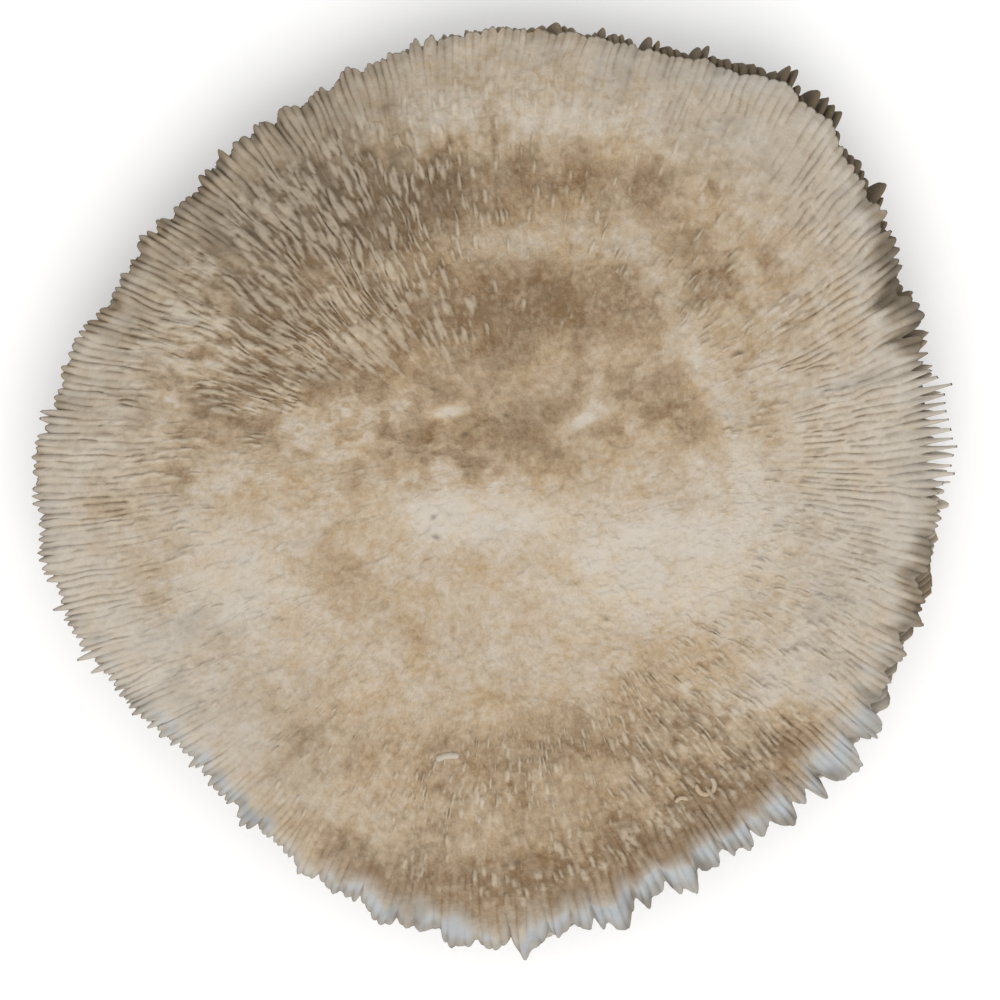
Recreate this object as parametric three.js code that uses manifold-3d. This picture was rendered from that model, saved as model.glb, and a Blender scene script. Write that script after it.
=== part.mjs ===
// A mushroom coral skeleton, lying on its gilled mouth side with the ribbed underside of its disc up.
// Millimetres, +Z up. The origin is the middle of the outline, on the surface that the coral rests on.
import * as THREE from "three";
import { mergeVertices } from "three/addons/utils/BufferGeometryUtils.js";
import Module from "manifold-3d";

const wasm = await Module();
wasm.setup();

// Outline seen from above. Angles are degrees anticlockwise from +X, round the growth centre.
const GROWTH_CENTRE = { x: 2.5, y: 0.35 }; // all ribs and gills spread from here
const RIM_REACH = [
  [0, 82], [22, 84], [38, 89.5], [54, 93], [70, 87.5], [92, 86], [120, 82], [150, 81],
  [168, 86], [185, 87.3], [205, 82.5], [220, 78], [240, 81], [265, 87], [295, 81.5], [330, 82],
]; // [angle, reach of the longest gill ends]
const GILL_OVERHANG = [
  [0, 6.5], [40, 5], [70, 4.5], [105, 3], [150, 2.2], [200, 2], [230, 2.4], [265, 4.8], [300, 5], [335, 6],
]; // [angle, how far gill ends reach past the wall of the disc]

// Ribbed face, the upper one here.
const WALL_EDGE_HEIGHT = 19; // of the disc's wall at the rim, over the surface below
const DOME = { rise: 8.5, power: 1.7 }; // of the middle over the rim; a higher power is flatter on top
const SWELLS = { half: 0.7, count: 2.6, drift: 0.1, start: 0.25 }; // rings left by growth, up and down
const RIM_WAVES = [
  { half: 1.3, count: 2, turn: 0.6 },
  { half: 0.8, count: 3, turn: -1.1 },
]; // the rim's own slow waves, up and down
const RIB_RISE = { middle: 0.4, rim: 1.4 }; // of a rib over the grooves beside it
const KNOB_RISE = 1.2; // most that a knob adds to its rib

// Mouth side, the lower one here.
const GILL_EDGE = [
  [0, 3], [0.12, 0.6], [0.2, -1.5], [0.45, -1.8], [0.63, 0.7], [0.78, 2.8], [0.95, 7],
]; // [share of the wall's radius, height]: what comes out below zero is worn flat
const GROOVE_DEPTH = [[0, 0.2], [0.12, 1.5], [0.3, 3.6], [0.63, 5], [0.95, 5]]; // [share, depth]
const MINOR_GILL_STEP = 1.2; // the shorter gills lie this much further in
const MOUTH = { turn: 25, halfLength: 17, halfWidth: 4.5, depth: 8 }; // the slit, its turn in degrees

// Gill ends at the rim, measured from the wall's upper edge.
const GILL_END = { tipDrop: 2.5, lowerDrop: 8, lowerInset: 1.2, minorShare: 0.6, irregular: 0.35 };
const WALL_LIP = { inset: 0.4, drop: 2.4, grooveInset: 2.2, grooveDrop: 5 };

// Rings of points, [share of the wall's radius, ribs]: young ribs start between old ones further out.
const RIM_RIBS = 160;
const FACE_RINGS = [
  [0.07, 20], [0.15, 20], [0.25, 40], [0.35, 40], [0.45, 80], [0.54, 80], [0.63, 80],
  [0.72, 160], [0.82, 160], [0.92, 160], [1, 160],
];
const MOUTH_SIDE_RINGS = [
  [0.95, 160], [0.78, 160], [0.63, 80], [0.5, 80], [0.4, 80], [0.3, 80],
  [0.2, 40], [0.12, 20], [0.05, 20],
];

// A closed smooth curve through [degrees, value] pairs, read at an angle in radians.
function around(pairs, angle) {
  const degrees = THREE.MathUtils.euclideanModulo(THREE.MathUtils.radToDeg(angle), 360);
  const next = pairs.findIndex(([start]) => start > degrees);
  const after = next < 0 ? pairs.length : next;
  const pair = (index) => {
    const turns = Math.floor(index / pairs.length);
    const [start, value] = pairs[index - turns * pairs.length];
    return [start + 360 * turns, value];
  };
  const [x0, y0] = pair(after - 2);
  const [x1, y1] = pair(after - 1);
  const [x2, y2] = pair(after);
  const [x3, y3] = pair(after + 1);
  const span = x2 - x1;
  const t = (degrees - x1) / span;
  const slope1 = ((y2 - y0) / (x2 - x0)) * span;
  const slope2 = ((y3 - y1) / (x3 - x1)) * span;
  const bend = (2 * t - 3) * t * t;
  return y1 * (1 + bend) - y2 * bend + slope1 * t * (t - 1) ** 2 + slope2 * t * t * (t - 1);
}

// Straight lines through [share, value] pairs.
function along(pairs, share) {
  const next = pairs.findIndex(([start]) => start > share);
  if (next < 0) return pairs.at(-1)[1];
  const [x1, y1] = pairs[next - 1];
  const [x2, y2] = pairs[next];
  return THREE.MathUtils.mapLinear(share, x1, x2, y1, y2);
}

// A steady irregular number from 0 to 1 for each rib and ring.
function irregular(rib, ringNumber) {
  const wild = Math.sin(rib * 12.9898 + ringNumber * 78.233) * 43758.5453;
  return wild - Math.floor(wild);
}

const isMinor = (rib) => rib % 2 === 1;
const wallRadius = (angle) => around(RIM_REACH, angle) - around(GILL_OVERHANG, angle);

function onCircle(radius, angle, height) {
  return new THREE.Vector3(
    GROWTH_CENTRE.x + radius * Math.cos(angle),
    GROWTH_CENTRE.y + radius * Math.sin(angle),
    height,
  );
}

// Height of the ribbed face's grooves: a low dome with growth swells and a slowly waving rim.
function faceHeight(share, angle) {
  const dome = DOME.rise * (1 - share ** DOME.power);
  const turns = SWELLS.count * share + SWELLS.drift * Math.sin(angle);
  const swell = SWELLS.half * Math.min(1, share / SWELLS.start) * Math.sin(2 * Math.PI * turns);
  const waves = RIM_WAVES.map(({ half, count, turn }) => half * Math.sin(count * angle + turn));
  return WALL_EDGE_HEIGHT + dome + swell + share ** 2 * waves.reduce((sum, wave) => sum + wave);
}

// How far the mouth slit is let into the mouth side at a point.
function mouthDepth(radius, angle) {
  const turned = angle - THREE.MathUtils.degToRad(MOUTH.turn);
  const lengthwise = (radius * Math.cos(turned)) / MOUTH.halfLength;
  const across = (radius * Math.sin(turned)) / MOUTH.halfWidth;
  return MOUTH.depth * Math.exp(-(lengthwise ** 4) - across ** 2);
}

function facePoint(share, ringNumber, angle, rib) {
  let height = faceHeight(share, angle);
  if (rib !== null) {
    height += THREE.MathUtils.lerp(RIB_RISE.middle, RIB_RISE.rim, share);
    height += KNOB_RISE * share * irregular(rib, ringNumber);
  }
  return onCircle(share * wallRadius(angle), angle, height);
}

function mouthSidePoint(share, angle, rib) {
  const radius = share * wallRadius(angle);
  let height = along(GILL_EDGE, share) + mouthDepth(radius, angle);
  if (rib === null) height += along(GROOVE_DEPTH, share);
  else if (isMinor(rib)) height += MINOR_GILL_STEP;
  return onCircle(radius, angle, height);
}

// The outermost point of a gill end, or the wall's lip in the groove beside it.
function tipPoint(angle, rib) {
  const edge = faceHeight(1, angle);
  if (rib === null) return onCircle(wallRadius(angle) - WALL_LIP.inset, angle, edge - WALL_LIP.drop);
  return onCircle(gillEndReach(angle, rib), angle, edge - GILL_END.tipDrop);
}

// The gill end's lower corner, or the outer end of the groove beside it.
function lowerPoint(angle, rib) {
  const edge = faceHeight(1, angle);
  if (rib === null) {
    return onCircle(wallRadius(angle) - WALL_LIP.grooveInset, angle, edge - WALL_LIP.grooveDrop);
  }
  return onCircle(gillEndReach(angle, rib) - GILL_END.lowerInset, angle, edge - GILL_END.lowerDrop);
}

function gillEndReach(angle, rib) {
  const share = (isMinor(rib) ? GILL_END.minorShare : 1) - GILL_END.irregular * irregular(rib, 0);
  return wallRadius(angle) + share * around(GILL_OVERHANG, angle);
}

// One ring of points, two for each rib: every other one lies on a rib, and the rest lie in grooves.
function ring(ribs, place) {
  return Array.from({ length: 2 * ribs }, (_, index) => {
    const angle = (Math.PI * index) / ribs;
    const rib = index % 2 === 0 ? (index / 2) * (RIM_RIBS / ribs) : null;
    return place(angle, rib);
  });
}

// Triangles between two rings that have as many points, or one of them twice as many.
function band(first, second, add) {
  const steps = Math.min(first.length, second.length);
  const firstStep = first.length / steps;
  const secondStep = second.length / steps;
  for (let i = 0; i < steps; i++) {
    const a = first[i * firstStep];
    const b = first[((i + 1) * firstStep) % first.length];
    const c = second[i * secondStep];
    const d = second[((i + 1) * secondStep) % second.length];
    if (secondStep === 2) {
      const between = second[i * secondStep + 1];
      add(a, c, between);
      add(a, between, b);
      add(b, between, d);
    } else if (firstStep === 2) {
      const between = first[i * firstStep + 1];
      add(a, c, between);
      add(between, c, d);
      add(between, d, b);
    } else if (i % 2 === 0) {
      add(a, c, d);
      add(a, d, b);
    } else {
      add(a, c, b);
      add(c, d, b);
    }
  }
}

// The whole surface, ring by ring from the middle of the ribbed face over the rim to the mouth.
function discGeometry() {
  const rings = [
    ...FACE_RINGS.map(([share, ribs], number) =>
      ring(ribs, (angle, rib) => facePoint(share, number + 1, angle, rib)),
    ),
    ring(RIM_RIBS, tipPoint),
    ring(RIM_RIBS, lowerPoint),
    ...MOUTH_SIDE_RINGS.map(([share, ribs]) =>
      ring(ribs, (angle, rib) => mouthSidePoint(share, angle, rib)),
    ),
  ];
  const corners = [];
  const add = (...triangle) => corners.push(...triangle);
  rings.slice(1).forEach((next, index) => band(rings[index], next, add));

  const top = onCircle(0, 0, faceHeight(0, 0) + RIB_RISE.middle);
  rings[0].forEach((point, index, points) => add(top, point, points[(index + 1) % points.length]));
  const mouthFloor = onCircle(0, 0, along(GILL_EDGE, 0) + mouthDepth(0, 0));
  rings.at(-1).forEach((point, index, points) =>
    add(mouthFloor, points[(index + 1) % points.length], point),
  );
  return new THREE.BufferGeometry().setFromPoints(corners);
}

function solidOf(geometry) {
  const bare = geometry.index ? geometry.toNonIndexed() : geometry;
  bare.deleteAttribute("normal");
  bare.deleteAttribute("uv");
  const merged = mergeVertices(bare, 1e-4);
  return new wasm.Manifold(
    new wasm.Mesh({
      numProp: 3,
      vertProperties: merged.attributes.position.array,
      triVerts: new Uint32Array(merged.index.array),
    }),
  );
}

function geometryOf(solid) {
  const mesh = solid.getMesh();
  const geometry = new THREE.BufferGeometry();
  geometry.setAttribute("position", new THREE.BufferAttribute(mesh.vertProperties, 3));
  geometry.setIndex(new THREE.BufferAttribute(mesh.triVerts, 1));
  geometry.computeVertexNormals();
  return geometry;
}

// The gill edges that the coral rests on, worn off flat at height zero.
function wornFlat(solid) {
  const size = 300;
  const below = new THREE.BoxGeometry(size, size, size).translate(0, 0, -size / 2);
  return solid.subtract(solidOf(below));
}

const coralMaterial = new THREE.MeshStandardMaterial({ color: "#c8b694", roughness: 0.9, metalness: 0 });
const coral = new THREE.Mesh(geometryOf(wornFlat(solidOf(discGeometry()))), coralMaterial);
coral.name = "mushroom_coral";

const part = new THREE.Group();
part.add(coral);
export default part;
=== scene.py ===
# A mushroom coral skeleton laid on its gilled mouth side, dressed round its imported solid.
import math

import bpy
import numpy as np
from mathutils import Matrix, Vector


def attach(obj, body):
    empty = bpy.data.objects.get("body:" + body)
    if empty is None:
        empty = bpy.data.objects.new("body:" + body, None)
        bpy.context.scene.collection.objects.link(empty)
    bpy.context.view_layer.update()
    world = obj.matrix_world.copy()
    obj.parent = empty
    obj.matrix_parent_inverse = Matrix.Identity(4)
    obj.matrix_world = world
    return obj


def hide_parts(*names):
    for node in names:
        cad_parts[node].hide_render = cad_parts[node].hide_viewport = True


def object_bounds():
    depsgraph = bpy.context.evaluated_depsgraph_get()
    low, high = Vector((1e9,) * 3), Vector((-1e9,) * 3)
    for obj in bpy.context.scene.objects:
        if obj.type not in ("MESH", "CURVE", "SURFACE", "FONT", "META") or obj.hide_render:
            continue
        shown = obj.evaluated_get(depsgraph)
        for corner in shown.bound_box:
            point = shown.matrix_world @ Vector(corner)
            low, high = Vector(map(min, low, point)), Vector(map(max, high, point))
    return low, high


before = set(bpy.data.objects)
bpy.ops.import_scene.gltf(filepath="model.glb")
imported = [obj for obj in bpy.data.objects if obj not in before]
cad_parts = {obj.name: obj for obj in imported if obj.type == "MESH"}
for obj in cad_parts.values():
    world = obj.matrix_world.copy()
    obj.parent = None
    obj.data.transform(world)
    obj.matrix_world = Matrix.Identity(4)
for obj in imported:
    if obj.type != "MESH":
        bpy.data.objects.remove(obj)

SOLID_LOW, SOLID_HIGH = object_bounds()
NODE = "mushroom_coral"
MM = 0.001  # shapes are worked out in millimetres, and become metres when a piece is made

# Outline. The gills' overhang is wider than the solid's on the upper right.
# Angles are degrees anticlockwise from +X, round the growth centre.
GROWTH_CENTRE = (2.5, 0.35)
RIM_REACH = [
    (0, 82), (22, 84), (38, 89.5), (54, 93), (70, 87.5), (92, 86), (120, 82), (150, 81),
    (168, 86), (185, 87.3), (205, 82.5), (220, 78), (240, 81), (265, 87), (295, 81.5), (330, 82),
]
GILL_OVERHANG = [
    (0, 6.5), (14, 6.6), (20, 8), (29, 8), (40, 6.8), (52, 5.4), (70, 4.5), (105, 3), (150, 2.2),
    (200, 2), (230, 2.4), (265, 4.8), (300, 5), (335, 6),
]
WALL_RAGGED, WALL_BUMPS = 0.7, 82  # reach, bumps round the coral
WALL_THICKNESS = 3.2
ROUGH_RADIUS = 80  # of the wall, for the looks under the face

# Ribbed face, as in the solid.
WALL_EDGE_HEIGHT = 19.0
DOME_RISE, DOME_POWER = 8.5, 1.7
SWELL_HALF, SWELL_COUNT, SWELL_DRIFT, SWELL_START = 0.7, 2.6, 0.1, 0.25
RIM_WAVES = [(1.3, 2, 0.6), (0.8, 3, -1.1)]  # half height, waves round the rim, turn in radians

# Ribs. They wander sideways, and stand out as clear ridges only near the rim.
RIBS = 352
RIB_CROWDING = 0.1  # how much closer ribs stand on the left than on average
RIB_COLUMNS = [(0, 0), (0.15, 0.66), (0.37, 1), (0.62, 1), (0.85, 0.62)]  # place across, share of rise
RIB_SWIRL, RIB_SWIRL_WAVES, RIB_SWIRL_DRIFT = 0.03, 3, 5  # radians, waves round the coral, radians outward
WANDER_BEGINS = (0.3, 0.6)
WANDER_LEAST_RADIUS = 20
RIB_WANDER = [
    (70, 9, 0.5), (150, 5, 0.35), (352, 5, 0.26), (352, 2.2, 0.1),
]  # bumps round the coral, length of one, sideways reach
RIB_RISE = [
    (0, 0.46), (40, 0.46), (80, 0.24), (110, 0.46), (140, 0.7), (170, 0.5), (195, 0.42), (215, 0.24),
    (240, 0.18), (262, 0.44), (310, 0.62), (340, 0.3),
]
RIB_PALE = [
    (0, 0.5), (14, 0.5), (20, 0.15), (32, 0.15), (40, 0.45), (200, 0.5), (262, 0.3), (310, 0.12),
    (335, 0.3), (350, 0.3),
]  # how much paler the ridges' crests are
RIB_PART, RIB_GAP = 2.3, 0.5  # usual length of a ridge's stretches, depth of the gaps
RIB_RISE_SPREAD = (0.75, 0.5)  # least share, and what chance adds
BREAKS = [(1, 0.7), (2.2, 0.45)]  # pace along a stretch, strength
BREAK_EDGE = (-0.45, 0.15)
ROW_SHIFT, ROW_APART = 9, 3.0  # keep the noise of neighbouring ribs apart
GROOVE_FILL, GROOVE_FILL_LENGTH = 0.6, 2.6  # share filled by crust, length of a filling
GROOVE_FILL_EDGE = (-0.05, 0.4)
GROOVE_GAP = 0.65  # how much shallower grooves are between their dashes
GROOVE_STRENGTH = (0.7, 0.5)  # least share, and what chance adds
GROOVE_BEGINS = (0.5, 0.9)
GROOVE_SHARPNESS = 1.5
RIB_BAND = [
    (0, 0.62), (30, 0.66), (60, 0.8), (90, 0.88), (120, 0.8), (150, 0.74), (180, 0.68), (205, 0.76),
    (240, 0.84), (270, 0.82), (310, 0.76), (340, 0.76),
]  # share of the wall's radius where the ridges begin
RIDGES_RAGGED = (0.04, 90, 12)  # how ragged that line is, bumps round the coral, length of one
RIDGE_BLEND = 0.2
RIDGE_OVER_RELIEF, RIDGE_OVER_FLAKES = 0.5, 0.7  # how much ridges take the place of other relief
RELIEF_START = [
    (0, 0.5), (30, 0.45), (60, 0.34), (80, 0.32), (105, 0.24), (135, 0.3), (165, 0.42), (190, 0.52),
    (230, 0.56), (270, 0.47), (310, 0.46), (340, 0.48),
]  # share of the wall's radius where strokes and knobs begin
RELIEF_RAGGED = (0.05, 60, 20)  # how ragged that line is, bumps round the coral, length of one
RELIEF_BLEND = 0.22
CRUSTS = [(40, 13, 0.7), (110, 5, 0.5)]  # bumps round the coral, length of one, strength
CRUST_EDGE = (0.0, 0.5)
CRUST_OVER_RELIEF, CRUST_OVER_RIDGES = 0.75, 0.7  # how much of the relief crust hides
CRUST_END = (0.84, 0.97)  # where the ridges come clear of it
GROOVE_DEPTH = [
    (0, 0.28), (40, 0.27), (80, 0.13), (110, 0.14), (140, 0.15), (170, 0.15), (200, 0.12), (240, 0.08),
    (270, 0.12), (310, 0.18), (340, 0.16),
]
GROOVE_LENGTH = [
    (0, 2.4), (60, 2), (100, 2), (135, 2.2), (170, 2.2), (220, 2), (260, 2), (310, 2), (340, 2.2),
]
RING_STEP = 0.32
RIB_ROOM = [(0.125, 8), (0.25, 4), (0.5, 2)]  # rings inside this share have one in so many ribs
FACE_CUTS = [0.5, 0.7, 0.88]  # shares of the wall's radius where one piece of the face meets the next
UNDER_RINGS = [
    (0.998, 0.7, 1), (0.98, 1.6, 1), (0.94, 2.6, 1), (0.88, 3, 2), (0.7, 3.2, 4), (0.3, 3.2, 8),
]  # rings under the face: share of the wall's radius, depth below the face, ribs to each of its steps

# Strokes and knobs that the ribs break up into.
STROKES = [(440, 2.4, 0.5), (250, 1.8, 0.7)]  # bumps round the coral, length of one, strength
STROKE_EDGE = (-0.4, 0.5)
STROKE_BEGINS = (0.42, 0.7)
STROKE_LEAST, STROKE_LOST = 0.25, 0.6  # share of the rise that worn strokes keep, share lost at the rim
STROKE_RISE = [
    (0, 0.24), (40, 0.24), (60, 0.18), (80, 0.1), (110, 0.1), (140, 0.12), (165, 0.14), (190, 0.11),
    (240, 0.1), (270, 0.16), (310, 0.18), (335, 0.22), (350, 0.22),
]
KNOB_COLUMNS, KNOB_SPACING = 300, 2.8
KNOB_HALF_WIDTH = [
    (0, 0.36), (40, 0.32), (80, 0.38), (105, 0.46), (140, 0.5), (170, 0.46), (200, 0.36), (240, 0.32),
    (270, 0.32), (320, 0.31),
]  # in columns
KNOB_SHARE = [
    (0, 0.15), (30, 0.25), (60, 0.18), (85, 0.2), (105, 0.4), (120, 0.95), (150, 0.95), (168, 0.6),
    (190, 0.2), (240, 0.15), (262, 0.65), (285, 0.7), (310, 0.62), (330, 0.45), (345, 0.25),
]  # share of places that have a knob
KNOB_RISE = 0.65
KNOB_JITTER = 0.9  # how far knobs stray from even places, in places
KNOB_SIZE = (0.55, 0.5)  # least size, and what chance adds
KNOB_SHOWN = (0.1, 0.5)  # how clear the relief is where knobs begin to rise and are full
KNOB_END = (0.88, 0.96)
KNOB_HALF_LENGTH = [
    (0, 1.1), (40, 1.5), (80, 1.5), (105, 1.8), (120, 2.2), (140, 2.5), (165, 2.2), (220, 1), (270, 1.3),
    (310, 1.55), (340, 1.3),
]
INNERMOST_PART = 4  # the middle has room for a quarter of the columns of knobs
KNOB_ROOM = [(0.25, 2), (0.5, 1)]  # rings outside this share have one in so many columns
CHANGE_OVER = 0.06  # half width of the ragged line between them
CHANGE_OVER_BUMPS = (48, 5)  # bumps round the coral, length of one
GRANULE_COLUMNS, GRANULE_SPACING, GRANULE_HALF_WIDTH = 420, 1.2, 0.45
GRANULE_SHARE = [(0, 0.7), (60, 0.5), (90, 0.4), (140, 0.4), (180, 0.4), (230, 0.5), (270, 0.8), (330, 0.8)]
GRANULE_RISE = 0.18
GRANULE_BEGINS, GRANULE_END = (0.15, 0.4), (0.9, 0.97)
GRANULE_HALF_LENGTH = [(0, 0.55), (120, 0.7), (180, 0.7), (270, 0.5)]
FLAKES = [(4.6, 0.22), (2.4, 0.2), (1.3, 0.14)]  # size and rise of thin crusts with sharp edges
FLAKE_SLANT, FLAKE_EDGE = (0.4, 0.3), (0.05, 0.2)
GRAIN = [(0.8, 0.1), (1.6, 0.1), (3.5, 0.14)]  # size and height of the unevenness all over

# How pale raised parts are and how dirty gaps are.
PALE_STROKE, PALE_GRANULE, PALE_FLAKE = 1.6, 0.35, 0.3
DIRT_STROKE, DIRT_GROOVE, DIRT_RIDGE = 1.5, 1.6, 0.55

# Lobes of the rim, which the ribs' and gills' ends follow.
LOBE_WIDTH_SPREAD, LOBE_HEIGHT_SPREAD = (0.55, 1.5), (0.4, 1.0)
LOBE_PEAK_SPREAD, LOBE_BLUNT_SPREAD = (0.25, 0.75), (1.8, 3.4)
LOBE_LAST_SHARE = 0.3  # a rest narrower than this share of a lobe joins the last
LOBE_WIDTH = [
    (0, 5), (20, 7), (45, 7), (75, 4.5), (110, 5), (140, 6), (165, 4), (190, 2.8), (215, 2.6),
    (232, 3.4), (260, 6), (300, 5.5), (335, 7), (350, 7.5),
]
MARGIN_SHARE = [
    (0, 0.25), (8, 0.1), (14, 0.2), (18, 0.7), (24, 0.9), (31, 0.85), (36, 0.45), (45, 0.25), (60, 0.2),
    (80, 0.3), (100, 0.8), (130, 1.3), (150, 1.3), (175, 0.8), (210, 0.9), (235, 1.1), (260, 1.05),
    (300, 1.1), (325, 1), (338, 0.85), (348, 0.9), (355, 0.65),
]  # how much of the gills' overhang the face covers
MARGIN_BEGIN = 0.92  # where the face begins to stretch out to the margin
MARGIN_MEAN, MARGIN_UNEVEN, MARGIN_BUMPS = 0.85, 0.3, 330
MARGIN_DROP = 0.4  # how far the margin sinks for each millimetre of its reach
MARGIN_TILT = 0.8  # how far a lobe's sides sink or rise for each millimetre of its reach
RIB_TOOTH = [
    (0, 4), (3, 6.6), (8, 7), (14, 6.4), (18, 2), (30, 1.8), (60, 0.7), (90, 0.8), (130, 1.1), (165, 2),
    (190, 3.2), (205, 3), (225, 1.6), (250, 0.8), (310, 0.6), (345, 0.9), (355, 1.4),
]  # how far the longest ribs' ends stand out of the margin's edge
TOOTH_BEGIN = 0.955
TOOTH_LEAST, COMB_TOOTH_LEAST = 0.25, 0.45  # shortest share of that, and how much more in the comb
TOOTH_RARITY = 5  # the higher, the fewer are long
TOOTH_POINT, COMB_POINT = 1.5, 2  # how pointed they are, and how much more in the comb

# Gills of the mouth side, and their ends at the rim.
GILL_EDGE = [
    (0, 3), (0.12, 0.6), (0.2, -0.6), (0.45, -0.6), (0.63, 0.7), (0.78, 2.8), (0.95, 7), (1, 9.5),
]  # share of the wall's radius, height
MINOR_GILL_STEP = 1.2
GILL_TOOTH, GILL_TOOTH_LENGTH = 0.7, 2.4
GILL_APART = 7.0  # keeps the noise of neighbouring gills apart
GILL_THICKNESS = {"major": 0.85, "minor": 0.6}
GILL_STEPS = {"major": 56, "minor": 36}
GILL_END_STEPS = 14
GILL_LOOP = [
    (0, 1, 1, 1.3), (0.5, 0.85, 1, 0), (1, 0.6, 1, -1), (1, 0.6, -1, -1), (0.5, 0.85, -1, 0), (0, 1, -1, 1.3),
]  # a gill in section: share of its height down, share of its thickness, side, how far it faces up
GILL_STARTS = [(1, 0.56), (2, 0.4), (4, 0.2), (8, 0.12)]  # one in so many gills, where it ends inside
GILL_START_SPREAD = 0.08
LONGEST_EVERY, LONGEST_START = 16, 0.05
GILL_INNER_RISE, GILL_INNER_LENGTH = 5, 0.07  # at the end near the mouth
GILL_LEAST_HEIGHT, GILL_END_LEAST_HEIGHT = 0.3, 0.25
GILL_UNEVEN, COMB_UNEVEN = 0.28, 0.4  # how uneven ends are, and more in the comb
FOLLOW_LEAST, FOLLOW_POWER = 0.1, 0.7  # how gills' ends follow the lobes
COMB_RISE, LOBE_SINK = 0.3, 0.7  # over and under the wall's edge
GILL_RISES = 0.95  # where a gill's top leaves the wall
MARGIN_COVERS, COVERED_SINK = (0.3, 1.5), 1.2  # reach of a margin that covers ends, how far they sink
GILL_END_DROOP, GILL_DROOP_POWER = 2.4, 1.5
GILL_END_HANG, HANG_TOOTH, END_TOOTH = 9.0, 0.6, 0.8  # depth of the ends, shares of the teeth on them
COMB_TAPER, END_SWELL = 0.7, 0.3  # how much thinner ends get in the comb, how much thicker elsewhere
END_ROUND, END_ROUND_POWER, END_FACING_POWER = 0.9, 7, 4
GILL_SWAY, GILL_SWAY_LENGTH, GILL_SWAY_SPREAD = 0.25, 2.2, 6.28  # reach, length, spread in radians
COMB = [
    (0, 0.5), (3, 1), (8, 1), (15, 0.9), (19, 0.2), (30, 0.15), (60, 0), (95, 0.3), (130, 0.5),
    (180, 0.7), (215, 0.6), (240, 0.15), (300, 0), (335, 0.1), (355, 0.2),
]  # how far gills' ends are free of the lobes
GILL_LEAN = [
    (0, 0.12), (14, 0.3), (30, 0.5), (60, 0.35), (80, 0.3), (110, 0.2), (180, 0.1), (220, 0.2),
    (250, 0.5), (290, 0.6), (325, 0.6), (342, 0.9), (353, 0.4),
]
GILL_LEAN_SPREAD, GILL_LEAN_BEGIN = (0.5, 0.9), 0.8
GILL_SHARE = [
    (0, 1), (8, 0.8), (20, 1), (32, 1.05), (45, 1.2), (60, 1.15), (100, 1), (200, 1), (230, 0.8), (260, 0.55),
    (310, 0.55), (335, 0.95), (350, 1.15),
]  # how much of the overhang the gills' ends take up
MOUTH_TURN, MOUTH_HALF_LENGTH, MOUTH_HALF_WIDTH, MOUTH_DEPTH = 25, 17.0, 4.5, 8.0

# Curled tubes of small worms on the face:
# x, y, curl radius, first turn and sweep in degrees, tube radius, whiteness.
WORM_TUBES = [
    (35.3, -54.4, 1.7, 170, 250, 0.5, 0.0),
    (31.0, -58.0, 1.4, 40, 120, 0.4, 0.0),
    (-11.5, -54.5, 6.0, 70, 44, 0.65, 0.4),
]
TUBE_SIDES, TUBE_STEPS = 8, 30
TUBE_END_POWER, TUBE_END_LEAST = 8, 0.02  # how blunt the ends are, and the least of their section
TUBE_TIGHTENING, TUBE_LIFT = 0.1, 0.4
TUBE_STAIN, TUBE_PALE = 0.38, 0.25

# Stains and pale patches on the ribbed face, in millimetres from the growth centre:
# x, y, half length, half width, turn in degrees, strength.
BROWN_PATCHES = [
    (-23, 50, 16, 5.5, 27, 1.05),
    (-42, 37, 16, 8, 58, 0.5),
    (4, 33.4, 15, 4.2, 0, 1.0),
    (-5, 26, 8, 5, 10, 0.35),
    (-4, 9, 14, 4, 10, 0.42),
    (27, 13, 9, 5, -15, 0.24),
    (7, 56, 16, 3.4, -2, 0.4),
    (34, 44, 10, 5.5, -48, 0.25),
    (-6, 30, 45, 30, 0, 0.28),
    (10, -47, 27, 4, 4, 0.33),
    (40.5, -58.3, 10, 4.5, 38, 1.1),
    (36, -56.5, 5, 3, 30, 0.35),
    (48, -47, 6, 3, 50, 0.3),
    (27, -67, 11, 4.5, 25, 1.0),
    (10, -74, 12, 4, 10, 0.65),
    (-12, -74.5, 13, 4.5, -6, 0.75),
    (-28, -69.5, 9, 4, -30, 0.45),
    (11, -60, 38, 15, 3, 0.3),
    (31, -37, 10, 6, 20, 0.12),
    (-30, -21, 13, 8, -42, 0.14),
    (-49.5, 12, 6.5, 1.5, -22, 0.65),
    (-35, 27, 9, 3, -8, 0.38),
    (-34, 44, 9, 5, 35, 0.34),
    (-42, 21, 9, 2, -14, 0.7),
    (-53, 18.5, 5, 2, -10, 0.35),
    (-57.5, 9.5, 3, 2, 0, 0.22),
    (-61, 2, 3, 2, 0, 0.22),
    (-73.5, -4.4, 4, 1.6, 0, 0.3),
    (-65, -20, 2.6, 2.6, 0, 0.2),
    (-62, -15, 5, 1.2, 12, 0.18),
    (-66, -11, 6, 2, 5, 0.1),
    (-50, 48, 14, 8, 45, 0.25),
    (-44, -40, 11, 5, -40, 0.1),
    (51, 60, 14, 8, -45, 0.03),
]
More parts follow.
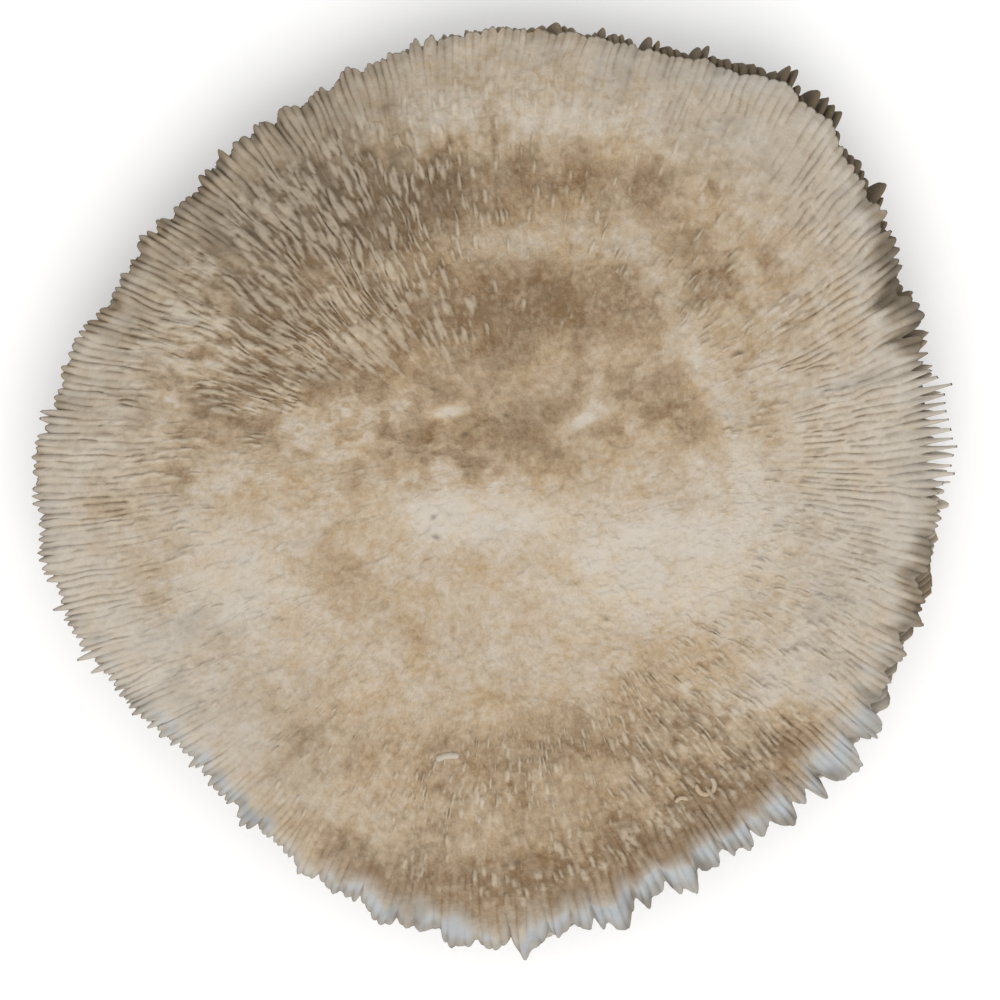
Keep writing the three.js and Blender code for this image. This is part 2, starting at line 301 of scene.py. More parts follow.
PALE_PATCHES = [
    (-39, 5, 5, 3, -20, 0.15),
    (-17, 12, 4, 3, 0, 0.12),
    (49, 4, 8, 12, 0, 0.08),
    (-6, 64, 20, 4.5, 6, 0.38),
    (28, 56, 5, 4, 0, 0.12),
    (4, 43, 17, 3, 0, 0.24),
    (27, 35.5, 7, 3, -52, 0.3),
    (12, 23, 4, 6, 0, 0.15),
    (27, 4, 5, 4, 0, 0.12),
    (42, -45, 9, 3, 20, 0.15),
    (47, -38, 8, 6, 40, 0.2),
    (-31, -61, 7, 4, -35, 0.12),
    (-7, -5, 13, 4, 0, 0.3),
    (27, -14, 11, 6.5, 10, 0.3),
    (-50, -16, 9, 8, 0, 0.2),
    (-31, -26, 12, 3, -37, 0.12),
    (37, 15, 13, 2.5, -65, 0.25),
    (-54, 22, 1.4, 0.6, -20, 0.7),
    (-51, 10.5, 2.2, 0.8, -10, 0.3),
    (-60, 31, 1.4, 0.6, -35, 0.6),
    (-50.7, 27.6, 1.5, 0.7, -20, 0.4),
    (72, 6, 12, 22, 0, 0.05),
    (-11, 13.2, 2.8, 1, 10, 0.6),
    (13, 12, 2.8, 1.3, 20, 0.6),
    (-61, 25, 1.8, 0.7, -25, 0.4),
    (-57, 30, 1.6, 0.6, -30, 0.4),
]
WHITE_PATCHES = [
    (66.4, 20.9, 6, 1.4, 12, 0.4),
    (55.4, 17.2, 4, 0.6, 12, 0.45),
    (73.2, -3.5, 2.2, 1.6, 0, 0.5),
    (71.5, -8.6, 4, 1.5, -8, 0.5),
    (65, 40.4, 3.5, 1.3, -20, 0.4),
    (50, 34, 5, 0.8, 28, 0.4),
    (51, -4, 7, 1.3, -3, 0.3),
    (34, 68, 11, 4, -25, 0.3),
    (36, 57, 14, 3, -38, 0.3),
    (50, 58, 11, 5, -48, 0.6),
    (-61, 25, 1.6, 0.6, -25, 0.4),
    (-57, 30, 1.4, 0.5, -30, 0.4),
    (-51, 10.5, 1.6, 0.7, -10, 0.3),
    (-50, -45, 18, 11, -45, 0.48),
    (55, -35, 9, 8, 0, 0.25),
    (-72, -2, 11, 30, 0, 0.42),
    (66, 4, 13, 28, 0, 0.4),
]  # thin white lime splashes
GREY_PATCHES = [
    (-46, 52, 26, 9, 45, 0.62),
    (-22, 51.5, 14, 5.5, 27, 0.35),
    (24, 78, 20, 5, -10, 0.2),
    (-80, 0, 7, 30, 0, 0.05),
    (-51, -41, 15, 9, -45, 0.07),
    (42, 63, 8, 5, -40, 0.06),
    (-50, -16, 10, 9, 0, 0.03),
    (66, -23, 10, 15, 0, 0.13),
    (-6, -81, 16, 4, 0, 0.12),
    (75, -22.6, 0.6, 0.5, 0, 0.9),
    (1, -68.5, 0.5, 0.4, 0, 0.8),
    (41, 24, 0.7, 0.3, 10, 0.7),
    (33, -42, 0.5, 0.4, 0, 0.8),
    (-8, 2, 0.4, 0.4, 0, 0.6),
    (17, -24, 0.4, 0.3, 0, 0.6),
    (-1, 12.6, 0.6, 0.3, -30, 0.7),
    (-8.5, 9.2, 0.5, 0.3, 40, 0.7),
    (-18.5, 8.8, 0.5, 0.3, -30, 0.6),
    (-14, 17.4, 0.7, 0.3, -20, 0.6),
    (-13.6, -9.2, 0.6, 0.3, -20, 0.7),
    (-14, -5.6, 0.4, 0.3, 20, 0.6),
]  # greyer zones, the broad ones on the upper left partly painted shade, and small dark specks
BASE_STAIN, STAIN_DEPTH = 0.09, 2.3  # stain all over, how fast stains get deep
CLOUDS = [
    (0, 1.1), (45, 1.1), (75, 0.8), (105, 0.7), (135, 1.45), (165, 1.7), (195, 0.9), (225, 0.45), (255, 0.45),
    (285, 0.7), (315, 1), (345, 0.9),
]  # how uneven the stain is
CLOUD_FLAKES, CLOUD_BLOTCHES = 0.45, 0.15  # what makes it uneven
STAIN_CRUMBS, STAIN_PALE = 0.25, 0.25  # how much less crumbs and raised parts are stained
STREAKS, STREAKS_BEGIN = (345, 9), (30, 60)  # count and length, distances where they begin and are full
BLOTCHES = [(5, 1), (2.1, 0.6)]  # size, strength
CRUMB_SIZE = 0.9
STAIN_FLAKES = [(4.5, 3.4, 1), (1.8, 1.5, 0.6)]  # size along x, size along y, strength
STAIN_FLAKE_CRUMBS, STAIN_FLAKE_EDGE = 0.3, 0.1
PATCH_STREAKS, PATCH_BLOTCHES = 0.5, 0.45  # what breaks up the patches' edges
SPLASH_BROKEN, SPLASH_MOST = 1.4, 0.5  # how much more splashes are broken up, the whitest they get
SPLASH_BROWN, SPLASH_HIDDEN = 3, 0.8  # how fast brown hides splashes, and the most that it hides
DIRT_STAIN = 0.38  # how much browner the grooves and hollows are

# Looks of the rim, by angle, with painted shade on gill ends, lobe tips and some white lobes. Depths are
# measured inward from its edge.
BLEACH_STRENGTH, BLEACH_BLOTCHES = 0.8, 0.15
WHITE_FULL, WHITE_BLOTCHES, WHITE_STREAKS = -0.2, 0.2, 0.25
TIP_EDGE, TIP_STREAKS, TIP_PALE = (0.25, 1.05), 0.3, 0.5
RIM_BLEACH = [
    (0, 0.5), (60, 0.5), (95, 0.35), (135, 0.2), (170, 0.2), (205, 0.3), (225, 0.2), (245, 0.1),
    (310, 0.1), (335, 0.5),
]
RIM_BLEACH_DEPTH = [(0, 15), (40, 12), (75, 8), (120, 8), (180, 12), (215, 6), (240, 3), (310, 3), (340, 10)]
RIM_WHITE = [
    (0, 0.52), (40, 0.58), (60, 0.58), (75, 0.45), (95, 0.16), (130, 0.16), (165, 0.34), (185, 0.48),
    (205, 0.64), (222, 0.8), (238, 0.85), (325, 0.85), (345, 0.5),
]
RIM_WHITE_DEPTH = [
    (0, 14), (60, 14), (120, 8), (180, 14), (215, 8), (235, 4), (250, 4.6), (268, 7.6), (285, 5),
    (303, 4), (318, 5.8), (330, 9), (345, 10),
]
RIM_WHITE_SHADE = 0.42  # how much painted shade greys some of the white lobes, for facets turned from the light
SHADES, SHADE_EDGE = (130, 5), (-0.1, 0.6)  # count and length of the places with painted shade
RIM_DARK = [
    (0, 0.1), (8, 0.04), (14, 0.1), (19, 0.85), (32, 0.9), (42, 0.5), (60, 0.2), (100, 0.35),
    (115, 0.42), (135, 0.75), (165, 0.4), (200, 0.2), (225, 0.25), (315, 0.25), (328, 0.2), (338, 0.55),
    (352, 0.7),
]  # darker tips of the face's lobes, partly painted shade where they curve away from the light
RIM_DARK_DEPTH = [
    (0, 3), (14, 3), (20, 6.5), (32, 6.5), (40, 3), (60, 2), (135, 3.4), (180, 2), (270, 2.4), (338, 5),
    (352, 5),
]
# Painted shade on the gills' ends, darkest on the upper right and upper left where they turn from the light.
GILL_PAINTED_SHADE = [
    (0, 0.05), (8, 0.2), (14, 0.6), (30, 0.95), (60, 0.95), (90, 0.8), (130, 0.8), (160, 0.45), (200, 0.15),
    (240, 0.0), (318, 0.0), (332, 0.5), (346, 0.7), (354, 0.2),
]
GILL_LOOKS_BEGIN = 0.9  # where gills take on the rim's looks
# GILL_PAINTED_SHADE_STAIN browns the gills along with their painted shade; that brown is partly stain.
GILL_STAIN, GILL_PAINTED_SHADE_STAIN, GILL_WHITE = 0.14, 0.5, 0.6
TOP_EDGE_PAINTED_LIGHT, COMB_TOP_EDGE_PAINTED_LIGHT = 0.1, 0.6  # painted light on gills' top edges, which lifts their painted shade, and more in the comb

# Coral stone: its colours as linear red, green, blue and cover, and its fine grain.
CREAM, TAN, BROWN = (0.52, 0.465, 0.39, 1), (0.397, 0.303, 0.199, 1), (0.188, 0.122, 0.066, 1)
TAN_STAIN = 0.45  # stain at which the stone is tan
WARM_TINT, CHALK = (1, 0.962, 0.9, 1), (0.535, 0.488, 0.44, 1)
# BLUE_LIT_WHITE is lime white with painted cool window light, on the whitest lobes.
LIME_WHITE, BLUE_LIT_WHITE = (0.475, 0.46, 0.425, 1), (0.4, 0.42, 0.432, 1)
# DARK_DIRT_AND_SHADE darkens dark specks and grey zones, and is also painted shade on gill ends, lobe tips
# and some white lobes.
DARK_DIRT_AND_SHADE, PALE_CREST = (0.078, 0.06, 0.038, 1), (0.52, 0.45, 0.35, 1)
CHALK_STRENGTH, DARK_STRENGTH, PALE_STRENGTH = 0.4, 0.9, 0.55
CHALK_EDGE, WARM_EDGE, BLUE_LIT_EDGE = (0.52, 0.58), (0.47, 0.57), (0.5, 0.9)
CHALK_STAIN = 1.6  # how fast stain hides the chalk
STONE_GRAIN = {
    "blotch": (170, 5, 0.7), "speckle": (900, 3, 0.6), "pore": (2600, 2, 0.6),
    "chalk": (130, 6, 0.7), "warm": (85, 5, 0.7),
}  # bumps in a metre, detail, roughness
STAIN_SWING = {"blotch": 0.5, "speckle": 0.6, "pore": 0.4}  # how far each moves the stain
BUMP_STRENGTH, BUMP_DISTANCE, BUMP_PORES = 0.5, 0.0004, 0.6
STONE_SPECULAR, STONE_ROUGHNESS = 0.2, 0.85

# Floor, camera and light, in metres.
FLOOR_HALF, FLOOR_HEIGHT = 4.0, -0.0001  # just under the gills, so that their crests stay clear of it
FLOOR_COLOUR, FLOOR_ROUGHNESS = (0.97, 0.97, 0.97, 1), 0.9
LENS, SENSOR = 85, 36
FRAME_FILLED, CAMERA_PLACE = 0.94, (0.0004, -0.0022)  # share of the picture's height, place above the coral
WINDOW_PLACE, WINDOW_SIZE, WINDOW_POWER = (0.1, -0.9, 1.1), 1.2, 9.1
WINDOW_COLOUR = (1.0, 0.98, 0.96)
SURROUND_COLOUR, SURROUND_STRENGTH = (1.0, 1.0, 1.0, 1), 0.93

# Steady irregular numbers: what makes neighbouring whole numbers differ, and rows between two seeds.
WILD_X, WILD_Y, WILD_REACH = 12.9898, 78.233, 43758.5453
SEED_ROWS = 57
random = np.random.default_rng(7)


def around(pairs, angle):
    """A closed smooth curve through (degrees, value) pairs, read at angles in radians."""
    degrees, values = np.array(pairs, float).T
    start = np.concatenate([degrees[-2:] - 360, degrees, degrees[:2] + 360])
    value = np.concatenate([values[-2:], values, values[:2]])
    at = np.degrees(angle) % 360
    i = np.searchsorted(start, at, side="right") - 1
    span = start[i + 1] - start[i]
    t = (at - start[i]) / span
    slope_before = (value[i + 1] - value[i - 1]) / (start[i + 1] - start[i - 1]) * span
    slope_after = (value[i + 2] - value[i]) / (start[i + 2] - start[i]) * span
    bend = (2 * t - 3) * t * t
    return (value[i] * (1 + bend) - value[i + 1] * bend
            + slope_before * t * (t - 1) ** 2 + slope_after * t * t * (t - 1))


def along(pairs, share):
    """Straight lines through (share, value) pairs."""
    shares, values = np.array(pairs, float).T
    return np.interp(share, shares, values)


def smooth(low, high, x):
    """A soft step from 0 at low to 1 at high."""
    t = np.clip((x - low) / (high - low), 0, 1)
    return t * t * (3 - 2 * t)


def irregular(x, y):
    """A steady irregular number from 0 to 1 for each pair of whole numbers."""
    wild = np.sin(x * WILD_X + y * WILD_Y) * WILD_REACH
    return wild - np.floor(wild)


def noise(x, y, seed, wrap=1 << 20):
    """Smooth irregular values from -1 to 1, with a bump for each unit, that repeat after wrap units of x."""
    cell_x, cell_y = np.floor(x), np.floor(y)
    u = smooth(0, 1, x - cell_x)
    v = smooth(0, 1, y - cell_y)
    row = cell_y + SEED_ROWS * seed
    left, right = cell_x % wrap, (cell_x + 1) % wrap
    low = irregular(left, row) * (1 - u) + irregular(right, row) * u
    high = irregular(left, row + 1) * (1 - u) + irregular(right, row + 1) * u
    return 2 * (low * (1 - v) + high * v) - 1


def noise_around(angle, count, lengthwise, seed):
    """The same noise with a whole number of bumps round the coral, so that it closes on itself."""
    return noise(angle / (2 * math.pi) % 1 * count, lengthwise, seed, count)


def wall_radius(angle):
    """Distance from the growth centre to the wall's edge."""
    ragged = WALL_RAGGED * noise_around(angle, WALL_BUMPS, 0, seed=3)
    return around(RIM_REACH, angle) - around(GILL_OVERHANG, angle) + ragged


def face_height(share, angle):
    """Height of the ribbed face between its ribs."""
    dome = DOME_RISE * (1 - share ** DOME_POWER)
    turns = SWELL_COUNT * share + SWELL_DRIFT * np.sin(angle)
    swell = SWELL_HALF * np.minimum(1, share / SWELL_START) * np.sin(2 * math.pi * turns)
    waves = sum(half * np.sin(count * angle + turn) for half, count, turn in RIM_WAVES)
    return WALL_EDGE_HEIGHT + dome + swell + share ** 2 * waves


def rib_angle(turn, share):
    """Direction of a rib, given as a share of a full turn, at a share of the way to the rim."""
    even = 2 * math.pi * turn
    straight = even + RIB_CROWDING * np.sin(even)
    radius = share * around(RIM_REACH, straight)
    sideways = sum(reach * noise_around(straight, count, radius / length, 30 + count)
                   for count, length, reach in RIB_WANDER)
    wander = smooth(*WANDER_BEGINS, share) * sideways / np.maximum(radius, WANDER_LEAST_RADIUS)
    swirl = RIB_SWIRL * share * np.sin(RIB_SWIRL_WAVES * straight + RIB_SWIRL_DRIFT * share)
    return straight + swirl + wander


def crest_turn(rib):
    """Place of a rib's crest as a share of a full turn."""
    return (rib + 0.5) / RIBS


def make_lobes():
    """Starts of the rim's lobes as shares of a turn, with their heights, peaks' places and bluntness."""
    starts = [0.0]
    while True:
        angle = float(rib_angle(np.array(starts[-1]), 1.0))
        width = float(around(LOBE_WIDTH, angle)) * random.uniform(*LOBE_WIDTH_SPREAD)
        end = starts[-1] + width / (2 * math.pi * float(wall_radius(np.array(angle))))
        if end > 1 - LOBE_LAST_SHARE * (end - starts[-1]):
            break
        starts.append(end)
    heights = random.uniform(*LOBE_HEIGHT_SPREAD, len(starts))
    peaks = random.uniform(*LOBE_PEAK_SPREAD, len(starts))
    blunt = random.uniform(*LOBE_BLUNT_SPREAD, len(starts))
    return np.array(starts), heights, peaks, blunt


LOBE_STARTS, LOBE_HEIGHTS, LOBE_PEAKS, LOBE_BLUNT = make_lobes()


def lobe_number(turn):
    """Number of the lobe that a rib ends in."""
    return np.searchsorted(LOBE_STARTS, turn % 1, side="right") - 1


def lobe_place(turn):
    """Where in its lobe a rib ends, from -1 at the first notch to 0 at the peak and 1 at the next notch."""
    number = lobe_number(turn)
    ends = np.append(LOBE_STARTS[1:], 1.0)
    t = (turn % 1 - LOBE_STARTS[number]) / (ends - LOBE_STARTS)[number]
    peak = LOBE_PEAKS[number]
    return np.where(t < peak, t / peak - 1, (t - peak) / (1 - peak))


def lobe(turn):
    """How far the rim stands out, from 0 in a notch to at most 1 on a lobe."""
    number = lobe_number(turn)
    return LOBE_HEIGHTS[number] * (1 - np.abs(lobe_place(turn)) ** LOBE_BLUNT[number])


def lobe_tilt(turn):
    """Height of a lobe's surface for each millimetre of its reach, one side up and the other down."""
    number = lobe_number(turn)
    return MARGIN_TILT * (2 * irregular(number, 44) - 1) * lobe_place(turn)


def margin(turn, angle):
    """How far the face reaches past the wall."""
    uneven = MARGIN_MEAN + MARGIN_UNEVEN * noise_around(angle, MARGIN_BUMPS, 0, seed=46)
    return around(GILL_OVERHANG, angle) * around(MARGIN_SHARE, angle) * lobe(turn) * uneven


def placed(radius, angle, height, sideways=0.0):
    """Points at a distance and direction from the growth centre."""
    x = GROWTH_CENTRE[0] + radius * np.cos(angle) - sideways * np.sin(angle)
    y = GROWTH_CENTRE[1] + radius * np.sin(angle) + sideways * np.cos(angle)
    return np.stack([x, y, height + 0 * x], axis=-1)


def patches(places, points, edge_noise):
    """Sum of soft oval patches, their edges broken up by noise."""
    total = np.zeros(len(points))
    for x, y, half_length, half_width, turn, strength in places:
        turn = math.radians(turn)
        dx = points[:, 0] - GROWTH_CENTRE[0] - x
        dy = points[:, 1] - GROWTH_CENTRE[1] - y
        lengthwise = (dx * math.cos(turn) + dy * math.sin(turn)) / half_length
        across = (dy * math.cos(turn) - dx * math.sin(turn)) / half_width
        reach = lengthwise ** 2 + across ** 2
        total += strength * np.exp(-0.5 * np.maximum(0, reach + edge_noise * np.sqrt(reach)))
    return total


def polar(points):
    """Distance and direction of points from the growth centre."""
    dx = points[:, 0] - GROWTH_CENTRE[0]
    dy = points[:, 1] - GROWTH_CENTRE[1]
    return np.hypot(dx, dy), np.arctan2(dy, dx)


def mottling(points):
    """Streaks along the ribs, blotches, crumbs and sharp-edged flakes, which break up the stains."""
    radius, angle = polar(points)
    x, y = points[:, 0], points[:, 1]
    count, length = STREAKS
    streaks = noise_around(angle, count, radius / length, seed=11) * smooth(*STREAKS_BEGIN, radius)
    blotches = sum(strength * noise(x / size, y / size, 12 + number)
                   for number, (size, strength) in enumerate(BLOTCHES))
    crumbs = noise(x / CRUMB_SIZE, y / CRUMB_SIZE, seed=14)
    wave = sum(strength * noise(x / wide, y / high, 16 + number)
               for number, (wide, high, strength) in enumerate(STAIN_FLAKES))
    flaky = smooth(-STAIN_FLAKE_EDGE, STAIN_FLAKE_EDGE, wave + STAIN_FLAKE_CRUMBS * crumbs) - 0.5
    return streaks, blotches, crumbs, flaky


def face_looks(points, pale, dirt, inside):
    """Stain, dark, white and pale values for points on the ribbed face."""
    radius, angle = polar(points)
    streaks, blotches, crumbs, flaky = mottling(points)
    edge_noise = PATCH_STREAKS * streaks + PATCH_BLOTCHES * blotches
    brown = patches(BROWN_PATCHES, points, edge_noise)
    stain = BASE_STAIN + brown - patches(PALE_PATCHES, points, edge_noise)
    clouds = around(CLOUDS, angle) * (CLOUD_FLAKES * flaky - CLOUD_BLOTCHES * blotches)
    uneven = clouds - STAIN_CRUMBS * crumbs - STAIN_PALE * pale
    stain = 1 - np.exp(-STAIN_DEPTH * stain * (1 + uneven)) + DIRT_STAIN * dirt

    from_wall = wall_radius(angle) - radius
    bleach_edge = from_wall / around(RIM_BLEACH_DEPTH, angle) + BLEACH_BLOTCHES * blotches
    bleach = around(RIM_BLEACH, angle) * (1 - smooth(0, 1, bleach_edge))
    white_edge = from_wall / around(RIM_WHITE_DEPTH, angle) + WHITE_BLOTCHES * blotches
    white_edge = white_edge + WHITE_STREAKS * streaks
    rim_white = around(RIM_WHITE, angle) * (1 - smooth(WHITE_FULL, 1, white_edge))
    bare = 1 - np.clip(SPLASH_BROWN * brown, 0, SPLASH_HIDDEN)
    splash = patches(WHITE_PATCHES, points, SPLASH_BROKEN * edge_noise) * bare
    white = np.maximum(rim_white, np.clip(splash, 0, SPLASH_MOST))
    # Painted shade greys some of the white lobes.
    count, length = SHADES
    greyer = smooth(*SHADE_EDGE, noise_around(angle, count, radius / length, seed=15))
    shade = RIM_WHITE_SHADE * white * greyer
    # Darker lobe tips, partly painted shade.
    tip_edge = inside / around(RIM_DARK_DEPTH, angle) + TIP_STREAKS * streaks
    tips = around(RIM_DARK, angle) * (1 - smooth(*TIP_EDGE, tip_edge)) * (1 - TIP_PALE * pale)
    return {
        "stain": np.clip(stain * (1 - BLEACH_STRENGTH * bleach), 0, 1),
        "dark": np.clip(patches(GREY_PATCHES, points, edge_noise) + tips + shade, 0, 1),
        "white": np.clip(white - tips, 0, 1),
        "pale": pale * (1 - np.clip(white, 0, 1)) * (1 - np.clip(tips, 0, 1)),
    }


def point_normals(points, triangles):
    """Smooth normals of one closed surface, so that pieces cut from it meet without a seam."""
    a, b, c = (points[triangles[:, corner]] for corner in range(3))
    facing = np.cross(b - a, c - a)
    normals = np.zeros_like(points)
    for corner in range(3):
        for axis in range(3):
            normals[:, axis] += np.bincount(triangles[:, corner], facing[:, axis], len(points))
    return normals / np.maximum(np.linalg.norm(normals, axis=1, keepdims=True), 1e-9)


def make_piece(name, points, triangles, looks, material, normals=None):
    """A mesh piece from arrays, with the looks as values on its points."""
    mesh = bpy.data.meshes.new(name)
    mesh.vertices.add(len(points))
    mesh.vertices.foreach_set("co", (points * MM).astype(np.float32).ravel())
    mesh.loops.add(triangles.size)
    mesh.loops.foreach_set("vertex_index", triangles.astype(np.int32).ravel())
    mesh.polygons.add(len(triangles))
    mesh.polygons.foreach_set("loop_start", np.arange(0, triangles.size, 3, dtype=np.int32))
    mesh.polygons.foreach_set("use_smooth", np.ones(len(triangles), bool))
    for look, values in looks.items():
        mesh.attributes.new(look, "FLOAT", "POINT").data.foreach_set("value", values.astype(np.float32))
    mesh.update(calc_edges=True)
    mesh.validate()
    if normals is not None:
        mesh.normals_split_custom_set_from_vertices(normals)
    mesh.materials.append(material)
    piece = bpy.data.objects.new(name, mesh)
    bpy.context.scene.collection.objects.link(piece)
    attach(piece, "root")
    return piece


def bands(rings):
    """Triangles between rings of point numbers, each with as many points as the last, twice or half."""
    found = []
    for first, second in zip(rings, rings[1:]):
        steps = min(len(first), len(second))
        a, c = first[:: len(first) // steps], second[:: len(second) // steps]
        b, d = np.roll(a, -1), np.roll(c, -1)
        if len(second) == 2 * steps:
            between = second[1::2]
            corners = [(a, c, between), (a, between, b), (b, between, d)]
        elif len(first) == 2 * steps:
            between = first[1::2]
            corners = [(a, c, between), (between, c, d), (between, d, b)]
        else:
            corners = [(a, c, d), (a, d, b)]
        found += [np.stack(three, 1) for three in corners]
    return np.concatenate(found)


def ribs_at(share):
    """How many ribs the rings of points have room for."""
    for below, every in RIB_ROOM:
        if share < below:
            return RIBS // every
    return RIBS


def crust(angle, radius):
    """Where lime has crusted the face over, from 0 to 1."""
    wave = sum(strength * noise_around(angle, count, radius / length, 24 + number)
               for number, (count, length, strength) in enumerate(CRUSTS))
    return smooth(*CRUST_EDGE, wave)


def relief_shown(share, angle, radius):
    """How clearly strokes and knobs stand out, from 0 where they are worn or crusted smooth to 1."""
    ragged, count, length = RELIEF_RAGGED
    wave = noise_around(angle, count, radius / length, seed=23)
    begun = share - around(RELIEF_START, angle) - ragged * wave
    return smooth(0, RELIEF_BLEND, begun) * (1 - CRUST_OVER_RELIEF * crust(angle, radius))


def ridge_shown(share, angle, radius):
    """How clearly ribs stand out as ridges, from 0 to 1 at the rim."""
    ragged, count, length = RIDGES_RAGGED
    wave = noise_around(angle, count, radius / length, seed=26)
    begun = share - around(RIB_BAND, angle) - ragged * wave
    crusted = CRUST_OVER_RIDGES * crust(angle, radius) * (1 - smooth(*CRUST_END, share))
    return smooth(0, RIDGE_BLEND, begun) * (1 - crusted)


def broken(lengthwise, row, seed, gap):
    """Strokes of uneven length along a rib or groove, 1 in them and less in the gaps."""
    place = lengthwise + ROW_SHIFT * irregular(row, seed)
    wave = sum(strength * noise(pace * place, ROW_APART * row, seed + number)
               for number, (pace, strength) in enumerate(BREAKS))
    return 1 - gap * (1 - smooth(*BREAK_EDGE, wave))


def groove_depth(share, angle, radius, groove):
    """Depth of the groove beside a rib, which breaks up into dashes."""
    least, spread = GROOVE_STRENGTH
    strength = least + spread * irregular(groove, 9)
    dash = broken(radius / around(GROOVE_LENGTH, angle), groove, 61, GROOVE_GAP)
    return around(GROOVE_DEPTH, angle) * smooth(*GROOVE_BEGINS, share) * strength * dash


def groove_fill(radius, groove):
    """How far crust fills a groove up to its ribs, from 0 in open stretches."""
    place = radius / GROOVE_FILL_LENGTH + ROW_SHIFT * irregular(groove, 8)
    return GROOVE_FILL * smooth(*GROOVE_FILL_EDGE, noise(place, ROW_APART * groove, seed=63))


def strokes(angle, radius):
    """Short strokes along the ribs, 1 on them and 0 between."""
    wave = sum(strength * noise_around(angle, count, radius / length, 70 + count)
               for count, length, strength in STROKES)
    return smooth(*STROKE_EDGE, wave)


def knobs(angle, radius, columns, spacing, half_width, half_length, share):
    """Scattered round-topped knobs, up to about 1 on them and 0 between."""
    across = angle / (2 * math.pi) % 1 * columns
    lengthwise = radius / spacing
    least, spread = KNOB_SIZE
    best = np.zeros_like(across)
    for column in (-1, 0, 1):
        for row in (-1, 0, 1):
            x, y = np.floor(across) + column, np.floor(lengthwise) + row
            # Rows far apart give each place four irregular numbers.
            stray_x, stray_y, sized, chosen = (irregular(x % columns, y + 1000 * k) for k in (1, 2, 3, 4))
            dx = x + 0.5 + KNOB_JITTER * (stray_x - 0.5) - across
            dy = y + 0.5 + KNOB_JITTER * (stray_y - 0.5) - lengthwise
            size = least + spread * sized
            away = (dx / (half_width * size)) ** 2 + (dy / (half_length / spacing * size)) ** 2
            best = np.maximum(best, (chosen < share) * size * np.sqrt(np.clip(1 - away, 0, 1)))
    return best


def scattered(share, angle, radius, columns, *knob):
    """Knobs in fewer columns nearer the middle, where there is less room, changing over on ragged lines."""
    count, length = CHANGE_OVER_BUMPS
    ragged = share + CHANGE_OVER * noise_around(angle, count, radius / length, seed=27)
    found = knobs(angle, radius, columns // INNERMOST_PART, *knob)
    for least, part in KNOB_ROOM:
        if share > least - CHANGE_OVER:
            found = np.where(ragged < least, found, knobs(angle, radius, columns // part, *knob))
    return found


def tooth_reach(rib, angle, crest):
    """How far ribs' ends stand out of the margin's edge: few are long, except in the comb."""
    comb = around(COMB, angle) * np.cos(angle).clip(0)
    least = TOOTH_LEAST + COMB_TOOTH_LEAST * comb
    length = least + (1 - TOOTH_LEAST - COMB_TOOTH_LEAST * comb) * irregular(rib, 48) ** TOOTH_RARITY
    return around(RIB_TOOTH, angle) * crest ** (TOOTH_POINT + COMB_POINT * comb) * length


def thin_flakes(x, y):
    """Rise of thin crusts with sharp edges."""
    slant_x, slant_y = FLAKE_SLANT
    total = np.zeros_like(x)
    for number, (size, rise) in enumerate(FLAKES):
        wave = noise((x + slant_x * y) / size, (y - slant_y * x) / size, 50 + number)
        total += rise * smooth(*FLAKE_EDGE, wave)
    return total


